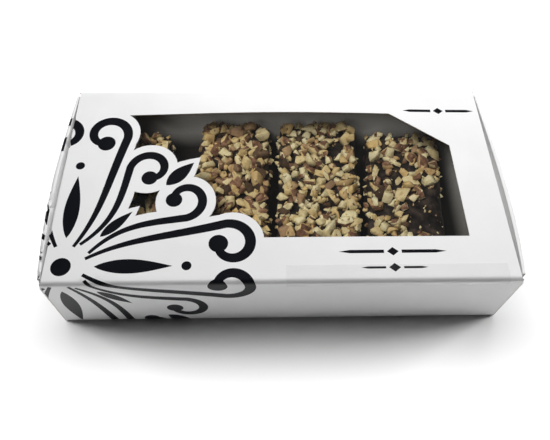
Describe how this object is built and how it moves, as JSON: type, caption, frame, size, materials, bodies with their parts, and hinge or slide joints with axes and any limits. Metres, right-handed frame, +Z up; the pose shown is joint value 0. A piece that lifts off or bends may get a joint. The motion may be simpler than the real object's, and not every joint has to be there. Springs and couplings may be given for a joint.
{
  "type": "windowed carton of nut-covered toffee bars",
  "caption": "Shut paperboard carton with a clear die-cut window, showing nut-covered chocolate toffee bars side by side in a dark plastic tray.",
  "frame": {"origin": "middle of the carton's underside", "axes": "+X along the carton's length, to the right seen from its front; +Y towards its back; +Z up"},
  "size_m": [0.198, 0.1018, 0.0403],
  "materials": {
    "board": "white coated paperboard, satin",
    "ink": "black print on the board, satin",
    "film": "thin clear film, glossy",
    "tape": "clear closing tape, glossy",
    "tray": "dark formed plastic, smooth, half gloss",
    "chocolate": "dark chocolate, satin",
    "nut": "chopped nuts, cream inside with some brown skin, matt"
  },
  "bodies": {
    "root": {"carton": "board", "window_film": "film", "closing_tape": "tape", "tray": "tray", "bar_1": "chocolate", "bar_2": "chocolate", "bar_3": "chocolate", "bar_4": "chocolate"}
  },
  "joints": []
}
